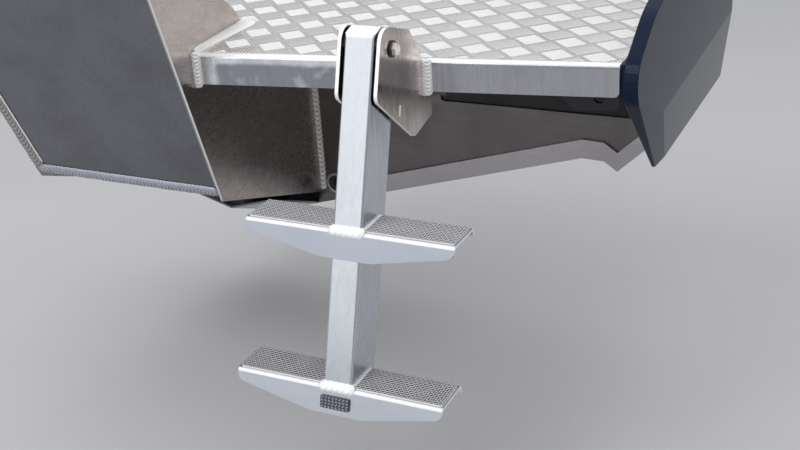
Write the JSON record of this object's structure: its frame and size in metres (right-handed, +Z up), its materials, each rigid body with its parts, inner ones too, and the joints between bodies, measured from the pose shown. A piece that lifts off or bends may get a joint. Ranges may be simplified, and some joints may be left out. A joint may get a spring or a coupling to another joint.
{
  "type": "boat boarding platform with folding ladder",
  "caption": "Welded aluminium stern corner of a small boat: engine pod, tread-plate boarding platform and a stepped ladder hinged between cheeks that folds up and over onto the deck.",
  "frame": {"origin": "on the transom plate's forward face, on the ladder's centre line, 100 mm below the deck", "axes": "+X to starboard along the steps, +Y forward square to the transom, +Z up"},
  "size_m": [1.2074, 1.0808, 0.7922],
  "materials": {
    "tread_plate": "raised tread pattern, mill finish",
    "sheet": "brushed mill finish",
    "pod_sheet": "dull mill finish",
    "tube": "extruded, lightly brushed",
    "step_sheet": "folded sheet, satin",
    "grip_pad": "moulded grip texture",
    "stainless": "polished",
    "black_nylon": "moulded",
    "hull_paint": "gloss"
  },
  "bodies": {
    "platform": {"tread_deck": "tread_plate", "rail_inboard": "sheet", "rail_centre": "sheet", "rail_outboard": "sheet", "hinge_cheek_inboard": "sheet", "hinge_cheek_outboard": "sheet", "ladder_stop_plate": "sheet", "pivot_bolt": "stainless", "pivot_nut": "stainless", "pivot_washer_inboard": "black_nylon", "pivot_washer_outboard": "black_nylon", "deck_bearer_inboard": "pod_sheet", "deck_bearer_outboard": "pod_sheet", "tie_down_lug": "sheet", "pod_wall_starboard": "pod_sheet", "pod_wall_port": "pod_sheet", "engine_plate": "pod_sheet", "pod_bottom_plate": "pod_sheet", "transom_plate": "pod_sheet", "transom_skin": "pod_sheet", "drain_ring": "sheet", "pod_keel_plate": "pod_sheet", "transom_lip": "sheet", "hull_side": "hull_paint", "hull_side_flange": "hull_paint"},
    "ladder": {"ladder_post": "tube", "post_cap": "tube", "post_foot_plate": "tube", "pivot_sleeve": "stainless", "upper_step": "step_sheet", "lower_step": "step_sheet", "upper_tread_pad_starboard": "grip_pad", "upper_tread_pad_port": "grip_pad", "lower_tread_pad_starboard": "grip_pad", "lower_tread_pad_port": "grip_pad", "grip_patch": "grip_pad"}
  },
  "joints": [
    {"name": "ladder_fold", "type": "hinge", "parent": "platform", "child": "ladder", "pos_m": [0, -0.61899, 0.15207], "axis": [-1, 0, 0], "range_deg": [0, 253]}
  ]
}
